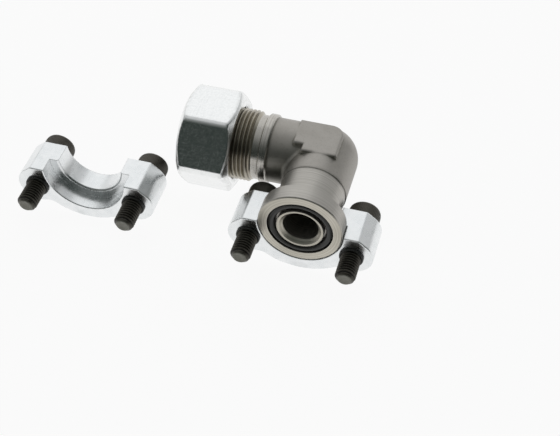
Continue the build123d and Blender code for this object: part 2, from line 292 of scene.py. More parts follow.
def make_active(piece):
    deselect_all()
    piece.select_set(True)
    bpy.context.view_layer.objects.active = piece


def edit(piece):
    make_active(piece)
    bpy.ops.object.mode_set(mode="EDIT")


def leave_edit():
    bpy.ops.object.mode_set(mode="OBJECT")


def apply_modifier(piece, name):
    make_active(piece)
    bpy.ops.object.modifier_apply(modifier=name)


def face_outwards():
    """Turns all faces of the piece in edit mode outwards."""
    bpy.ops.mesh.select_all(action="SELECT")
    bpy.ops.mesh.normals_make_consistent(inside=False)


def smooth(piece, degrees):
    make_active(piece)
    bpy.ops.object.shade_smooth_by_angle(angle=math.radians(degrees))


def smooth_evenly(piece, degrees):
    """Smooth shading in which large flat faces stay flat."""
    smooth(piece, degrees)
    piece.modifiers.new("even_shading", "WEIGHTED_NORMAL").keep_sharp = True
    apply_modifier(piece, "even_shading")


def draw_profile(name, points):
    """A line through (radius, height) points, drawn from one vertex by extruding."""
    deselect_all()
    bpy.ops.mesh.primitive_plane_add(size=MM)
    profile = bpy.context.object
    profile.name = name
    bpy.ops.object.mode_set(mode="EDIT")
    bpy.ops.mesh.select_mode(type="VERT")
    bpy.ops.mesh.select_all(action="SELECT")
    bpy.ops.mesh.merge(type="CENTER")
    bpy.ops.transform.translate(value=(points[0][0], 0, points[0][1]))
    for before, after in zip(points, points[1:]):
        step = (after[0] - before[0], 0, after[1] - before[1])
        bpy.ops.mesh.extrude_region_move(TRANSFORM_OT_translate={"value": step})
    leave_edit()
    return profile


def turn_profile(profile, sides, rise=0.0, turns=1, closed=False):
    """Carries a drawn line round the Z axis, rising by the given height with each turn."""
    turning = profile.modifiers.new("turning", "SCREW")
    turning.axis = "Z"
    turning.angle = 2 * math.pi
    turning.screw_offset = rise
    turning.iterations = turns
    turning.steps = sides
    turning.render_steps = sides
    turning.use_merge_vertices = closed
    turning.merge_threshold = MERGE_DISTANCE
    apply_modifier(profile, "turning")


def hexagon_bar(radius, length, middle_z):
    """Six-sided bar along Z with two of its corners towards Y, the radius being out to a corner."""
    deselect_all()
    bpy.ops.mesh.primitive_cylinder_add(
        vertices=6,
        radius=radius,
        depth=length,
        location=(0, 0, middle_z),
    )
    bpy.ops.object.transform_apply(location=True, rotation=True, scale=True)
    return bpy.context.object


def combine(piece, tool, operation):
    """Cuts a piece with a tool, or keeps only what both share, and takes the tool away."""
    cut = piece.modifiers.new("combine", "BOOLEAN")
    cut.operation = operation
    cut.solver = "EXACT"
    cut.object = tool
    apply_modifier(piece, "combine")
    bpy.data.objects.remove(tool)


def join(first, *others):
    deselect_all()
    for piece in (first, *others):
        piece.select_set(True)
    bpy.context.view_layer.objects.active = first
    bpy.ops.object.join()
    return first


def copy_piece(piece, name, placement):
    twin = piece.copy()
    twin.data = piece.data.copy()
    twin.name = name
    bpy.context.scene.collection.objects.link(twin)
    twin.data.transform(placement)
    return twin


def lay_along_tube(piece, start):
    """Lays a piece made along +Z on the tube axis, running away from the elbow."""
    piece.data.transform(Matrix.Rotation(math.radians(-90), 4, "Y"))
    piece.data.transform(Matrix.Translation((-start, TUBE_AXIS_Y, 0)))


def dress(piece, material):
    piece.data.materials.clear()
    piece.data.materials.append(material)


def keep_thread_height(piece, heights):
    """Keeps for the finish how far each point stands from a thread's root (0) to its crest (1)."""
    kept = piece.data.attributes.new(THREAD_HEIGHT, "FLOAT", "POINT")
    for mark, height in zip(kept.data, heights):
        mark.value = min(max(height, 0.0), 1.0)


def extrude_rings(rings):
    """Draws the selected loop on through rings of (radius, height), the first being the loop."""
    for before, after in zip(rings, rings[1:]):
        grow = after[0] / before[0]
        rise = (0, 0, after[1] - before[1])
        bpy.ops.mesh.extrude_region_move(TRANSFORM_OT_translate={"value": rise})
        bpy.ops.transform.resize(value=(grow, grow, 1), center_override=(0, 0, 0))


# Pieces that are modelled here

def threaded_rod(name, root, crest, pitch, length, end_radii, sides, bore_share=0.0):
    """A closed rod along +Z with a right-hand thread, turned down to a chamfer at both ends.
    With a bore share it is a sleeve, whose inner wall lies at that share of the end radii."""
    points = [
        (root, 0.0),
        (root, ROOT_END * pitch),
        (crest, CREST_START * pitch),
        (crest, CREST_END * pitch),
        (root, ROOT_START * pitch),
        (root, pitch),
    ]
    rod = draw_profile(name, points)
    turn_profile(rod, sides, rise=pitch, turns=math.ceil(length / pitch) + 2)

    # What is past either end is pressed into the end plane, and crests near it are turned down
    heights = []
    for vertex in rod.data.vertices:
        inside = min(max(vertex.co.z - pitch, 0.0), length)
        limit = min(end_radii[0] + inside, end_radii[1] + length - inside)
        radius = math.hypot(vertex.co.x, vertex.co.y)
        heights.append(1.0 if radius > limit else (radius - root) / (crest - root))
        shrink = min(radius, limit) / radius
        vertex.co = (vertex.co.x * shrink, vertex.co.y * shrink, inside)
    keep_thread_height(rod, heights)

    # The two open ends are filled, or for a sleeve joined by its inner wall
    edit(rod)
    bpy.ops.mesh.select_mode(type="EDGE")
    bpy.ops.mesh.select_all(action="SELECT")
    bpy.ops.mesh.remove_doubles(threshold=MERGE_DISTANCE)
    bpy.ops.mesh.dissolve_degenerate(threshold=MERGE_DISTANCE)
    bpy.ops.mesh.select_all(action="DESELECT")
    bpy.ops.mesh.select_non_manifold()
    if bore_share:
        bpy.ops.mesh.extrude_region_move()
        bpy.ops.transform.resize(value=(bore_share, bore_share, 1), center_override=(0, 0, 0))
        bpy.ops.mesh.bridge_edge_loops()
    else:
        bpy.ops.mesh.fill_holes(sides=0)
    face_outwards()
    leave_edit()
    return rod


def rounded_nut():
    """Hollow hexagon nut along +Z from its thread side.
    A turned ring is cut to six flats, and the edges round the flats are rounded."""
    chamfer_slope = math.tan(math.radians(NUT_CHAMFER_ANGLE))
    chamfer = (NUT_CORNER_RADIUS - NUT_FACE_RADIUS) * chamfer_slope
    section = [
        (NUT_BORE_RADIUS + NUT_MOUTH_CHAMFER, 0.0),
        (NUT_FACE_RADIUS, 0.0),
        (NUT_CORNER_RADIUS, chamfer),
        (NUT_CORNER_RADIUS, NUT_LENGTH - chamfer),
        (NUT_FACE_RADIUS, NUT_LENGTH),
        (NUT_HOLE_RADIUS + NUT_MOUTH_CHAMFER, NUT_LENGTH),
        (NUT_HOLE_RADIUS, NUT_LENGTH - NUT_MOUTH_CHAMFER),
        (NUT_HOLE_RADIUS, NUT_SEAT_START + NUT_SEAT_RADIUS - NUT_HOLE_RADIUS),
        (NUT_SEAT_RADIUS, NUT_SEAT_START),
        (NUT_BORE_RADIUS, NUT_BORE_LENGTH),
        (NUT_BORE_RADIUS, NUT_MOUTH_CHAMFER),
    ]
    nut = draw_profile("forged_union_nut", section + section[:1])
    turn_profile(nut, NUT_TURNED_SIDES, closed=True)

    # The ring is turned by half a side, so that each corner of the hexagon meets a side's middle
    nut.data.transform(Matrix.Rotation(math.pi / NUT_TURNED_SIDES, 4, "Z"))
    edit(nut)
    bpy.ops.mesh.select_all(action="SELECT")
    bpy.ops.mesh.remove_doubles(threshold=MERGE_DISTANCE)
    face_outwards()
    leave_edit()
    corner_radius = NUT_FLAT_RADIUS / math.cos(math.pi / 6)
    combine(nut, hexagon_bar(corner_radius, 2 * NUT_LENGTH, NUT_LENGTH / 2), "INTERSECT")

    # Tiny edges are merged first, because a round edge folds over them
    edit(nut)
    bpy.ops.mesh.select_mode(type="EDGE")
    bpy.ops.mesh.select_all(action="SELECT")
    bpy.ops.mesh.remove_doubles(threshold=TINY_EDGE)
    bpy.ops.mesh.select_all(action="DESELECT")
    bpy.ops.mesh.edges_select_sharp(sharpness=math.radians(NUT_EDGE_ANGLE))
    leave_edit()
    for edge in nut.data.edges:
        ends = [nut.data.vertices[index].co for index in edge.vertices]
        from_axis = min(math.hypot(end.x, end.y) for end in ends)
        edge.select = edge.select and from_axis > NUT_FLAT_RADIUS - NUT_EDGE_TOLERANCE
    edit(nut)
    bpy.ops.mesh.bevel(
        offset=NUT_EDGE_ROUND,
        segments=NUT_EDGE_SEGMENTS,
        profile=0.5,
        affect="EDGES",
        clamp_overlap=False,
    )
    face_outwards()
    leave_edit()
    return nut


def screw_tip():
    """Rounded and slightly dished end of a screw, from inside its thread down to height 0."""
    deselect_all()
    first_radius, first_height = SCREW_TIP[0]
    bpy.ops.mesh.primitive_circle_add(vertices=SCREW_SIDES, radius=first_radius, fill_type="NGON")
    tip = bpy.context.object
    bpy.ops.object.mode_set(mode="EDIT")
    bpy.ops.mesh.select_all(action="SELECT")
    bpy.ops.transform.translate(value=(0, 0, first_height))
    extrude_rings(SCREW_TIP)
    face_outwards()
    leave_edit()
    keep_thread_height(tip, [1.0] * len(tip.data.vertices))
    return tip


def knurled_head():
    """Socket head along +Z from its seat, with straight knurls and a hexagon socket."""
    sides = 2 * HEAD_KNURLS
    seat_radius = HEAD_RADIUS * HEAD_RINGS[0][0]
    deselect_all()
    bpy.ops.mesh.primitive_circle_add(vertices=sides, radius=seat_radius, fill_type="NGON")
    head = bpy.context.object
    bpy.ops.object.mode_set(mode="EDIT")
    bpy.ops.mesh.select_all(action="SELECT")
    extrude_rings(HEAD_RINGS)
    bpy.ops.mesh.select_mode(type="VERT")
    bpy.ops.mesh.select_all(action="DESELECT")
    leave_edit()

    # Every second upright row of points is drawn in, which leaves the knurls between
    for vertex in head.data.vertices:
        step = round(math.atan2(vertex.co.y, vertex.co.x) / (2 * math.pi) * sides)
        vertex.select = KNURL_START < vertex.co.z < KNURL_END and step % 2 == 1
    edit(head)
    narrow = (KNURL_ROOT_SHARE, KNURL_ROOT_SHARE, 1)
    bpy.ops.transform.resize(value=narrow, center_override=(0, 0, 0))
    face_outwards()
    leave_edit()
    key = hexagon_bar(HEAD_SOCKET_RADIUS, 2 * HEAD_SOCKET_DEPTH, HEAD_HEIGHT)
    combine(head, key, "DIFFERENCE")
    keep_thread_height(head, [1.0] * len(head.data.vertices))
    return head


# Node helpers

def tree_of(material):
    material.use_nodes = True
    tree = material.node_tree
    tree.nodes.clear()
    output = tree.nodes.new("ShaderNodeOutputMaterial")
    surface = tree.nodes.new("ShaderNodeBsdfPrincipled")
    tree.links.new(surface.outputs["BSDF"], output.inputs["Surface"])
    return tree, surface


def feed(tree, socket, value):
    """Gives a socket a value, or a link from another node's output."""
    if isinstance(value, bpy.types.NodeSocket):
        tree.links.new(value, socket)
    else:
        socket.default_value = value


def node(tree, kind, settings=None, **inputs):
    """One node, with its properties from settings and its sockets from values or other outputs.
    An input is given by its name, with _ for a space, or by its number, as i0 or i1."""
    made = tree.nodes.new(kind)
    for key, value in (settings or {}).items():
        setattr(made, key, value)
    for key, value in inputs.items():
        by_number = key[0] == "i" and key[1:].isdigit()
        which = int(key[1:]) if by_number else key.replace("_", " ")
        feed(tree, made.inputs[which], value)
    return made


def math_node(tree, operation, first, second=0.0):
    return node(tree, "ShaderNodeMath", {"operation": operation}, i0=first, i1=second).outputs[0]


def times(tree, first, second):
    return math_node(tree, "MULTIPLY", first, second)


def plus(tree, first, second):
    return math_node(tree, "ADD", first, second)


def minus(tree, first, second):
    return math_node(tree, "SUBTRACT", first, second)


def larger(tree, first, second):
    return math_node(tree, "MAXIMUM", first, second)


def ramp_between(tree, value, none_at, full_at, soft=True):
    """0 where the value is none_at, 1 where it is full_at, and in between a ramp."""
    made = node(
        tree,
        "ShaderNodeMapRange",
        {"interpolation_type": "SMOOTHSTEP" if soft else "LINEAR", "clamp": True},
        Value=value,
        From_Min=none_at,
        From_Max=full_at,
    )
    return made.outputs["Result"]


def spread(tree, value, low, high):
    """Turns a value from 0 to 1 into one from low to high."""
    return node(tree, "ShaderNodeMapRange", Value=value, To_Min=low, To_Max=high).outputs["Result"]


def mix_colour(tree, share, first, second):
    settings = {"data_type": "RGBA", "clamp_factor": True}
    return node(tree, "ShaderNodeMix", settings, i0=share, i6=first, i7=second).outputs[2]


def new_group(name, ins, outs):
    group = bpy.data.node_groups.new(name, "ShaderNodeTree")
    for socket_name, kind, default in ins:
        socket = group.interface.new_socket(socket_name, in_out="INPUT", socket_type=kind)
        if default is not None:
            socket.default_value = default
    for socket_name, kind in outs:
        group.interface.new_socket(socket_name, in_out="OUTPUT", socket_type=kind)
    given = group.nodes.new("NodeGroupInput").outputs
    out = group.nodes.new("NodeGroupOutput").inputs
    return group, given, out


def use_group(tree, group, **inputs):
    made = tree.nodes.new("ShaderNodeGroup")
    made.node_tree = group
    for key, value in inputs.items():
        feed(tree, made.inputs[key.replace("_", " ")], value)
    return made.outputs


def noise(tree, place, scale, detail):
    made = node(tree, "ShaderNodeTexNoise", Vector=place, Scale=scale, Detail=detail)
    return made.outputs[0]


def openness_of(tree, reach, inside=False):
    """1 on an open surface, and less near inner corners, or near outer edges seen from inside."""
    settings = {"inside": inside, "only_local": True, "samples": OPENNESS_SAMPLES}
    return node(tree, "ShaderNodeAmbientOcclusion", settings, Distance=reach).outputs["AO"]


# Cloudy tone and fine grain that every finish here shows, each at its own scale
def make_metal_skin():
    group, given, out = new_group(
        "metal_skin",
        [
            ("Place", "NodeSocketVector", None),
            ("Cloud Scale", "NodeSocketFloat", 180.0),
            ("Grain Scale", "NodeSocketFloat", 1600.0),
        ],
        [
            ("Cloud", "NodeSocketFloat"),
            ("Grain", "NodeSocketFloat"),
            ("Specks", "NodeSocketFloat"),
        ],
    )
    cloud = noise(group, given["Place"], given["Cloud Scale"], detail=4.0)
    grain = noise(group, given["Place"], given["Grain Scale"], detail=3.0)
    cells = node(
        group,
        "ShaderNodeTexVoronoi",
        Vector=given["Place"],
        Scale=given["Grain Scale"],
    )
    specks = ramp_between(group, cells.outputs["Distance"], none_at=0.25, full_at=0.05)
    clear_cloud = ramp_between(group, cloud, none_at=0.3, full_at=0.7)
    group.links.new(clear_cloud, out["Cloud"])
    group.links.new(grain, out["Grain"])
    group.links.new(specks, out["Specks"])
    return group


# Fine irregular lines left by a lathe tool, along one distance
def make_tool_lines():
    group, given, out = new_group(
        "tool_lines",
        [("Along", "NodeSocketFloat", 0.0), ("Lines per Metre", "NodeSocketFloat", 4000.0)],
        [("Lines", "NodeSocketFloat")],
    )
    counted = times(group, given["Along"], given["Lines per Metre"])
    in_a_row = {"noise_dimensions": "1D"}
    lines = node(group, "ShaderNodeTexNoise", in_a_row, W=counted, Scale=1.0, Detail=4.0)
    clear_lines = ramp_between(group, lines.outputs[0], none_at=0.32, full_at=0.68, soft=False)
    group.links.new(clear_lines, out["Lines"])
    return group


# Rubbed outer edges, and grime with painted shade in inner corners, both broken up into patches
def make_wear_grime_and_shade():
    group, given, out = new_group(
        "wear_grime_and_shade",
        [
            ("Place", "NodeSocketVector", None),
            ("Width", "NodeSocketFloat", 0.5 * MM),
            ("Round", "NodeSocketFloat", 0.5 * MM),
            ("Edge Start", "NodeSocketFloat", CRISP_EDGES[0]),
            ("Edge Full", "NodeSocketFloat", CRISP_EDGES[1]),
        ],
        [
            ("Wear", "NodeSocketFloat"),
            ("Grime And Shade", "NodeSocketFloat"),
            ("Rounded", "NodeSocketVector"),
        ],
    )
    settings = {"samples": ROUNDING_SAMPLES}
    rounded = node(group, "ShaderNodeBevel", settings, Radius=given["Round"])
    group.links.new(rounded.outputs["Normal"], out["Rounded"])
    inner = openness_of(group, given["Width"], inside=True)
    outer = openness_of(group, given["Width"])
    patches = noise(group, given["Place"], scale=450.0, detail=3.0)
    patchy = ramp_between(group, patches, none_at=0.30, full_at=0.62)
    edge = ramp_between(group, inner, given["Edge Start"], given["Edge Full"])
    # Grime with painted shade where inner corners close the surface in
    corner = ramp_between(group, outer, none_at=0.80, full_at=0.35)
    group.links.new(times(group, edge, patchy), out["Wear"])
    group.links.new(times(group, corner, patchy), out["Grime And Shade"])
    return group


# Hair-fine handling scratches in two directions, each with its turn and its stretch
def make_scratches():
    group, given, out = new_group(
        "fine_scratches",
        [("Place", "NodeSocketVector", None)],
        [("Scratches", "NodeSocketFloat")],
    )
    directions = [
        ((0.3, 0.5, 0.7), (90.0, 2600.0, 90.0)),
        ((1.1, -0.4, 2.0), (2600.0, 110.0, 110.0)),
    ]
    thin = []
    for turn, stretch in directions:
        turned = node(
            group,
            "ShaderNodeMapping",
            Vector=given["Place"],
            Rotation=turn,
            Scale=stretch,
        )
        streaks = noise(group, turned.outputs[0], scale=1.0, detail=1.0)
        thin.append(ramp_between(group, streaks, none_at=0.66, full_at=0.74))
    group.links.new(larger(group, *thin), out["Scratches"])
    return group


metal_skin = make_metal_skin()
tool_lines = make_tool_lines()
wear_grime_and_shade = make_wear_grime_and_shade()
fine_scratches = make_scratches()


# Finishes

def object_place(tree):
    return node(tree, "ShaderNodeTexCoord").outputs["Object"]


def distance_from_axis(tree, first, second):
    squares = plus(tree, times(tree, first, first), times(tree, second, second))
    return math_node(tree, "SQRT", squares)


def thread_height_of(tree):
    return node(tree, "ShaderNodeAttribute", {"attribute_name": THREAD_HEIGHT}).outputs["Fac"]


def overlay(tree, colour, mask, share, tone):
    """Lays a tone over a colour where the mask is, at the given share."""
    return mix_colour(tree, times(tree, mask, share), colour, tone)


def set_relief(tree, surface, height, strength, depth, over):
    """Relief on top of a normal whose edges are already rounded."""
    made = node(tree, "ShaderNodeBump", Height=height, Normal=over)
    made.inputs["Strength"].default_value = strength
    made.inputs["Distance"].default_value = depth
    tree.links.new(made.outputs["Normal"], surface.inputs["Normal"])


def satin_steel():
    """Blasted forging with turned flange, neck and tube end."""
    material = bpy.data.materials.new("satin_forged_steel")
    tree, surface = tree_of(material)
    place = object_place(tree)
    x, y, z = node(tree, "ShaderNodeSeparateXYZ", Vector=place).outputs
    skin = use_group(tree, metal_skin, Place=place, Cloud_Scale=90.0, Grain_Scale=1500.0)
    radius = distance_from_axis(tree, x, z)
    neck_lines = use_group(tree, tool_lines, Along=y, Lines_per_Metre=1500.0)[0]
    tube_lines = use_group(tree, tool_lines, Along=x, Lines_per_Metre=1300.0)[0]
    face_lines = use_group(tree, tool_lines, Along=radius, Lines_per_Metre=1500.0)[0]

    # Where the turned surfaces are
    on_neck = ramp_between(tree, y, NECK_END_Y, NECK_END_Y - FINISH_FADE)
    on_tube_end = ramp_between(tree, x, COLLAR_X + FINISH_FADE, COLLAR_X)
    turned = larger(tree, on_neck, on_tube_end)
    near_mouth = ramp_between(tree, y, MOUTH_DEPTH, MOUTH_DEPTH - FINISH_FADE)
    within_lip = ramp_between(tree, radius, MOUTH_LIP_RADIUS, MOUTH_LIP_RADIUS - MOUTH_LIP_FADE)
    in_mouth = times(tree, near_mouth, within_lip)
    on_face = larger(tree, ramp_between(tree, y, *FACE_DEPTHS), in_mouth)
    from_step = math_node(tree, "ABSOLUTE", minus(tree, y, NECK_END_Y))
    at_step = ramp_between(tree, from_step, *NECK_STEP_REACH)

    # Forged edges are blunt, turned ones crisper, and the step at the neck's end nearly smooth
    roundness = minus(tree, FORGED_EDGE_ROUND, times(tree, turned, TURNED_EDGE_SHARPENING))
    roundness = plus(tree, roundness, times(tree, at_step, NECK_STEP_SOFTENING))
    rubbed = use_group(tree, wear_grime_and_shade, Place=place, Width=0.6 * MM, Round=roundness)
    # Less grime and painted shade on the soft step at the neck's end
    grime_and_shade_share = minus(tree, STEEL_GRIME_AND_SHADE_SHARE, times(tree, at_step, NECK_STEP_GRIME_AND_SHADE_LOSS))
    lines = plus(tree, times(tree, neck_lines, on_neck), times(tree, tube_lines, on_tube_end))
    low_lines = times(tree, lines, TOOL_LINE_HEIGHT)
    fine_lines = plus(tree, low_lines, times(tree, face_lines, on_face))
    forged_grain = times(tree, skin["Grain"], minus(tree, 1.0, turned))
    height = plus(tree, fine_lines, times(tree, forged_grain, FORGED_GRAIN_HEIGHT))
    set_relief(tree, surface, height, strength=0.30, depth=0.05 * MM, over=rubbed["Rounded"])

    # Forged skin, with painted shade where the arms close it in, then turned metal, wear, and grime
    # with painted shade
    forged = mix_colour(tree, skin["Cloud"], *FORGED_TONES)
    grit = ramp_between(tree, skin["Grain"], none_at=0.55, full_at=0.75)
    forged = overlay(tree, forged, grit, share=0.50, tone=FORGED_GRIT_TONE)
    openness = openness_of(tree, PAINTED_SHADE_REACH)
    painted_shade = ramp_between(tree, openness, none_at=0.98, full_at=0.66)
    forged = overlay(tree, forged, painted_shade, share=0.7, tone=PAINTED_SHADE_TONE)
    colour = mix_colour(tree, turned, forged, mix_colour(tree, lines, *TURNED_TONES))
    colour = mix_colour(tree, on_face, colour, mix_colour(tree, face_lines, *FACE_TONES))
    colour = overlay(tree, colour, rubbed["Wear"], share=0.5, tone=STEEL_WEAR_TONE)
    colour = overlay(tree, colour, rubbed["Grime And Shade"], share=grime_and_shade_share, tone=STEEL_GRIME_AND_SHADE_TONE)
    tree.links.new(colour, surface.inputs["Base Color"])
    tube_end_polish = times(tree, on_tube_end, TUBE_END_POLISH)
    polish = plus(tree, tube_end_polish, times(tree, on_neck, NECK_POLISH))
    rough = minus(tree, spread(tree, skin["Cloud"], *STEEL_ROUGHNESS), polish)
    tree.links.new(rough, surface.inputs["Roughness"])
    surface.inputs["Metallic"].default_value = STEEL_METALLIC
    return material


def thread_steel():
    """Cut thread: paler crests as painted highlight, darker grooves as painted shade with a brown
    tinge.
    """
    material = bpy.data.materials.new("cut_thread_steel")
    tree, surface = tree_of(material)
    place = object_place(tree)
    skin = use_group(tree, metal_skin, Place=place, Cloud_Scale=160.0, Grain_Scale=1800.0)
    rubbed = use_group(tree, wear_grime_and_shade, Place=place, Width=0.2 * MM, Round=0.15 * MM)
    # Painted highlight on the crests, painted shade in the grooves
    crest = ramp_between(tree, thread_height_of(tree), none_at=0.0, full_at=0.5)
    groove = mix_colour(tree, skin["Cloud"], *GROOVE_TONES)
    ridge = mix_colour(tree, skin["Cloud"], *RIDGE_TONES)
    ridge = overlay(tree, ridge, rubbed["Wear"], share=0.4, tone=RIDGE_WEAR_TONE)
    tree.links.new(mix_colour(tree, crest, groove, ridge), surface.inputs["Base Color"])
    grain = skin["Grain"]
    set_relief(tree, surface, grain, strength=0.15, depth=0.04 * MM, over=rubbed["Rounded"])
    surface.inputs["Metallic"].default_value = STEEL_METALLIC
    surface.inputs["Roughness"].default_value = THREAD_ROUGHNESS
    return material


def zinc_plate(name, tones, cloud_scale, roughness, pebble, edge_width, edge_round, edges):
    """Bright zinc plating: faintly cloudy, finely scratched, grey on edges, darker in inner corners
    with grime and painted shade.
    """
    material = bpy.data.materials.new(name)
    tree, surface = tree_of(material)
    place = object_place(tree)
    skin = use_group(tree, metal_skin, Place=place, Cloud_Scale=cloud_scale, Grain_Scale=1100.0)
    rubbed = use_group(
        tree,
        wear_grime_and_shade,
        Place=place,
        Width=edge_width,
        Round=edge_round,
        Edge_Start=edges[0],
        Edge_Full=edges[1],
    )
    scratches = use_group(tree, fine_scratches, Place=place)["Scratches"]
    tone = mix_colour(tree, skin["Cloud"], *tones)
    tone = overlay(tree, tone, skin["Specks"], share=0.10, tone=ZINC_SPECK_TONE)
    tone = overlay(tree, tone, scratches, share=0.25, tone=ZINC_SCRATCH_TONE)
    tone = overlay(tree, tone, rubbed["Wear"], share=0.6, tone=ZINC_WEAR_TONE)
    # Grime with painted shade in inner corners
    tone = overlay(tree, tone, rubbed["Grime And Shade"], share=0.8, tone=ZINC_GRIME_AND_SHADE_TONE)
    tree.links.new(tone, surface.inputs["Base Color"])
    dull = plus(tree, skin["Cloud"], scratches)
    tree.links.new(spread(tree, dull, *roughness), surface.inputs["Roughness"])
    height = minus(tree, skin["Grain"], times(tree, scratches, 0.3))
    set_relief(tree, surface, height, strength=pebble, depth=0.05 * MM, over=rubbed["Rounded"])
    surface.inputs["Metallic"].default_value = 1.0
    return material


def black_oxide(name, groove, dark, pale):
    """Blackened screw steel with a faint brown cast, greyer rubbed edges and painted shade in the
    thread grooves.
    """
    material = bpy.data.materials.new(name)
    tree, surface = tree_of(material)
    place = object_place(tree)
    skin = use_group(tree, metal_skin, Place=place, Cloud_Scale=350.0, Grain_Scale=2200.0)
    rubbed = use_group(tree, wear_grime_and_shade, Place=place, Width=0.35 * MM, Round=0.35 * MM)
    # Painted shade: thread grooves darkened towards the root
    deep = ramp_between(tree, thread_height_of(tree), none_at=0.75, full_at=0.1)
    tone = mix_colour(tree, skin["Cloud"], dark, pale)
    tone = mix_colour(tree, deep, tone, groove)
    tone = overlay(tree, tone, rubbed["Wear"], share=0.5, tone=OXIDE_WEAR_TONE)
    tree.links.new(tone, surface.inputs["Base Color"])
    tree.links.new(spread(tree, skin["Cloud"], *OXIDE_ROUGHNESS), surface.inputs["Roughness"])
    grain = skin["Grain"]
    set_relief(tree, surface, grain, strength=0.15, depth=0.03 * MM, over=rubbed["Rounded"])
    surface.inputs["Metallic"].default_value = OXIDE_METALLIC
    return material


def black_rubber():
    """Moulded rubber with a fine grain and a faint grey bloom on its edges."""
    material = bpy.data.materials.new("moulded_black_rubber")
    tree, surface = tree_of(material)
    place = object_place(tree)
    skin = use_group(tree, metal_skin, Place=place, Cloud_Scale=500.0, Grain_Scale=2600.0)
    rubbed = use_group(tree, wear_grime_and_shade, Place=place, Width=0.3 * MM, Round=0.3 * MM)
    tone = mix_colour(tree, skin["Cloud"], *RUBBER_TONES)
    tone = overlay(tree, tone, rubbed["Wear"], share=0.5, tone=RUBBER_BLOOM_TONE)
    tree.links.new(tone, surface.inputs["Base Color"])
    grain = skin["Grain"]
    set_relief(tree, surface, grain, strength=0.12, depth=0.03 * MM, over=rubbed["Rounded"])
    surface.inputs["Roughness"].default_value = RUBBER_ROUGHNESS
    return material


steel = satin_steel()
thread_metal = thread_steel()
nut_zinc = zinc_plate(
    "zinc_plated_nut",
    NUT_TONES,
    cloud_scale=900.0,
    roughness=NUT_ROUGHNESS,
    pebble=0.36,
    edge_width=2.4 * MM,
    edge_round=0.4 * MM,
    edges=BLUNT_EDGES,
)
clamp_zinc = zinc_plate(
    "zinc_plated_clamp",
    CLAMP_TONES,
    cloud_scale=220.0,
    roughness=CLAMP_ROUGHNESS,
    pebble=0.05,
    edge_width=0.5 * MM,
    edge_round=0.5 * MM,
    edges=CRISP_EDGES,
)
blackened = black_oxide("blackened_screw_steel", *OXIDE_TONES)
rubbed_tip = black_oxide("rubbed_screw_tip", *TIP_TONES)
rubber = black_rubber()

# Elbow: the same body, with the core of its tube end turned down below the root of a real thread
elbow = copy_piece(nodes["elbow_body"], "forged_elbow", Matrix.Identity(4))
elbow.parent = None
edit(elbow)
bpy.ops.mesh.customdata_custom_splitnormals_clear()
bpy.ops.mesh.select_all(action="SELECT")
bpy.ops.mesh.remove_doubles(threshold=ELBOW_MERGE_DISTANCE)
leave_edit()
core_share = THREAD_CORE_RADIUS / THREAD_SOLID_RADIUS
for vertex in elbow.data.vertices:
    from_axis = math.hypot(vertex.co.y - TUBE_AXIS_Y, vertex.co.z)
    on_thread = abs(from_axis - THREAD_SOLID_RADIUS) < SURFACE_TOLERANCE
    if on_thread and vertex.co.x < -THREAD_START:
        vertex.co.y = TUBE_AXIS_Y + (vertex.co.y - TUBE_AXIS_Y) * core_share
        vertex.co.z = vertex.co.z * core_share
smooth_evenly(elbow, ELBOW_SMOOTH_ANGLE)
dress(elbow, steel)
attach(elbow, "fitting")
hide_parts("elbow_body")

thread = threaded_rod(
    "tube_end_thread",
    THREAD_ROOT_RADIUS,
    THREAD_CREST_RADIUS,
    THREAD_PITCH,
    THREAD_END - THREAD_START - THREAD_END_ROOM,
    (RELIEF_RADIUS, MOUTH_RADIUS),
    THREAD_SIDES,
    bore_share=THREAD_BORE_SHARE,
)
lay_along_tube(thread, THREAD_START)
smooth(thread, THREAD_SMOOTH_ANGLE)
dress(thread, thread_metal)
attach(thread, "fitting")

# Union nut: forged, so the edges round its flats are soft
nut = rounded_nut()
lay_along_tube(nut, NUT_START)
smooth_evenly(nut, NUT_SMOOTH_ANGLE)
dress(nut, nut_zinc)
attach(nut, "nut")
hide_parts("union_nut")

# Socket-head screws: one is modelled and the four in the clamp halves are copies of it
screw = threaded_rod(
    "cap_screw",
    SCREW_ROOT_RADIUS,
    SCREW_CREST_RADIUS,
    SCREW_PITCH,
    SCREW_LENGTH - SCREW_TIP_HEIGHT + SCREW_INTO_HEAD,
    (SCREW_END_RADIUS, SCREW_HEAD_END_RADIUS),
    SCREW_SIDES,
)
screw.data.transform(Matrix.Translation((0, 0, SCREW_TIP_HEIGHT)))
screw = join(screw, screw_tip())
screw.data.transform(Matrix.Translation((0, 0, -SCREW_LENGTH)))
screw = join(screw, knurled_head())
smooth(screw, SCREW_SMOOTH_ANGLE)
dress(screw, blackened)
screw.data.materials.append(rubbed_tip)
for face in screw.data.polygons:
    on_tip = face.center.z < -SCREW_LENGTH + SCREW_TIP_RUBBED
    face.material_index = 1 if on_tip else 0

# Rubber ring that grips the thread in front of the clamp half
deselect_all()
bpy.ops.mesh.primitive_torus_add(
    major_radius=RETAINER_RADIUS,
    minor_radius=RETAINER_SECTION_RADIUS,
    major_segments=RETAINER_SIDES,
    minor_segments=RETAINER_SECTION_SIDES,
)
retainer = bpy.context.object
retainer_middle = CLAMP_THICKNESS + RETAINER_SECTION_RADIUS * RETAINER_STRETCH
retainer.data.transform(Matrix.Diagonal((1, 1, RETAINER_STRETCH, 1)))
retainer.data.transform(Matrix.Translation((0, 0, -retainer_middle)))
smooth(retainer, RETAINER_SMOOTH_ANGLE)
dress(retainer, rubber)

